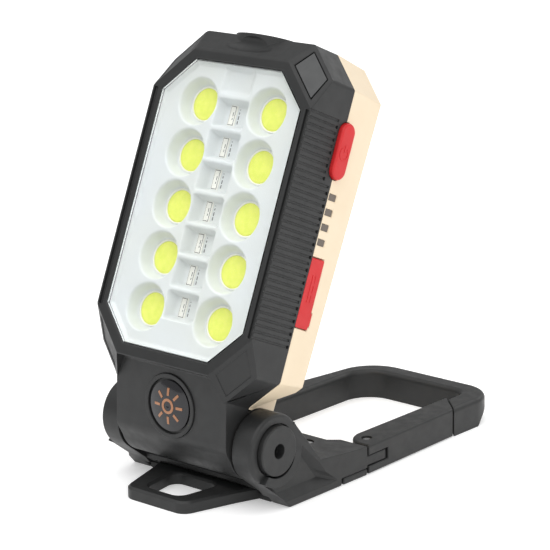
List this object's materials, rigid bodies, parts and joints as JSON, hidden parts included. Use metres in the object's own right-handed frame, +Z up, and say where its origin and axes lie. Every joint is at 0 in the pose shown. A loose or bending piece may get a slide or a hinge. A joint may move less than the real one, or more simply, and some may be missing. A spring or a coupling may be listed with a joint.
{
  "type": "work light",
  "caption": "Folding inspection lamp: a cornered LED head with side controls and a top torch, hinged on a magnetic base with a snap-gate hook and a hanging eyelet.",
  "frame": {"origin": "on the base's flat underside, in the middle between its two magnets", "axes": "+Z up out of the base, +Y towards the hook, +X towards the gate and the power button"},
  "size_m": [0.0726, 0.1449, 0.1506],
  "materials": {
    "black_shell": "satin",
    "cream_shell": "satin",
    "clear_lens": "clear",
    "white_reflector": "semi-gloss",
    "white_board": "satin",
    "phosphor": "satin",
    "white_chip": "satin",
    "bare_aluminium": "satin",
    "battery_wrap": "gloss",
    "nickel_strip": "satin",
    "green_board": "satin",
    "black_chip": "matt",
    "steel_fastener": "satin",
    "smoke_window": "clear",
    "mirror_cone": "polished",
    "grey_pad": "textured",
    "gloss_badge": "gloss",
    "copper_print": "gloss",
    "red_rubber": "satin",
    "magnet_plate": "polished",
    "friction_ring": "satin"
  },
  "bodies": {
    "base": {"base_frame": "black_shell", "bottom_cover": "black_shell", "magnets": "magnet_plate", "base_screws": "steel_fastener", "hinge_axle": "steel_fastener", "hinge_washers": "friction_ring", "hinge_cap_left": "black_shell", "hinge_cap_right": "black_shell", "gate_pin": "steel_fastener", "gate_spring": "steel_fastener"},
    "head": {"front_shell": "black_shell", "back_shell": "cream_shell", "lens": "clear_lens", "reflector_tray": "white_reflector", "led_board": "white_board", "round_lamps": "phosphor", "signal_chips": "white_chip", "heat_spreader": "bare_aluminium", "battery_cell": "battery_wrap", "battery_tabs": "nickel_strip", "control_board": "green_board", "board_screws": "steel_fastener", "charge_chips": "black_chip", "usb_socket": "nickel_strip", "tact_switch": "black_chip", "charge_windows": "smoke_window", "charge_leds": "white_chip", "torch_board": "white_board", "torch_led": "phosphor", "torch_reflector": "mirror_cone", "torch_lens": "clear_lens", "corner_pads": "grey_pad", "badge_bezel": "black_shell", "badge_dome": "gloss_badge", "badge_emblem": "copper_print", "shell_screws": "steel_fastener"},
    "gate": {"gate": "black_shell"},
    "power_button": {"power_button": "red_rubber"},
    "usb_flap": {"usb_flap": "red_rubber"}
  },
  "joints": [
    {"name": "head_tilt", "type": "hinge", "parent": "base", "child": "head", "pos_m": [0, -0.024, 0.0209], "axis": [-1, 0, 0], "range_deg": [-90, 66.5]},
    {"name": "gate_swing", "type": "hinge", "parent": "base", "child": "gate", "pos_m": [0.0302, 0.0278, 0.005], "axis": [0, 0, 1], "range_deg": [0, 40], "stiffness_Nm_per_rad": 0.03, "springref_deg": -20.05},
    {"name": "button_press", "type": "slide", "parent": "head", "child": "power_button", "axis": [-1, 0, 0], "range_m": [0, 0.0012], "stiffness_N_per_m": 600, "springref_m": -0.001},
    {"name": "flap_open", "type": "hinge", "parent": "head", "child": "usb_flap", "pos_m": [0.0341, -0.00205, 0.08027], "axis": [0, -0.9171, 0.3987], "range_deg": [0, 110]}
  ]
}
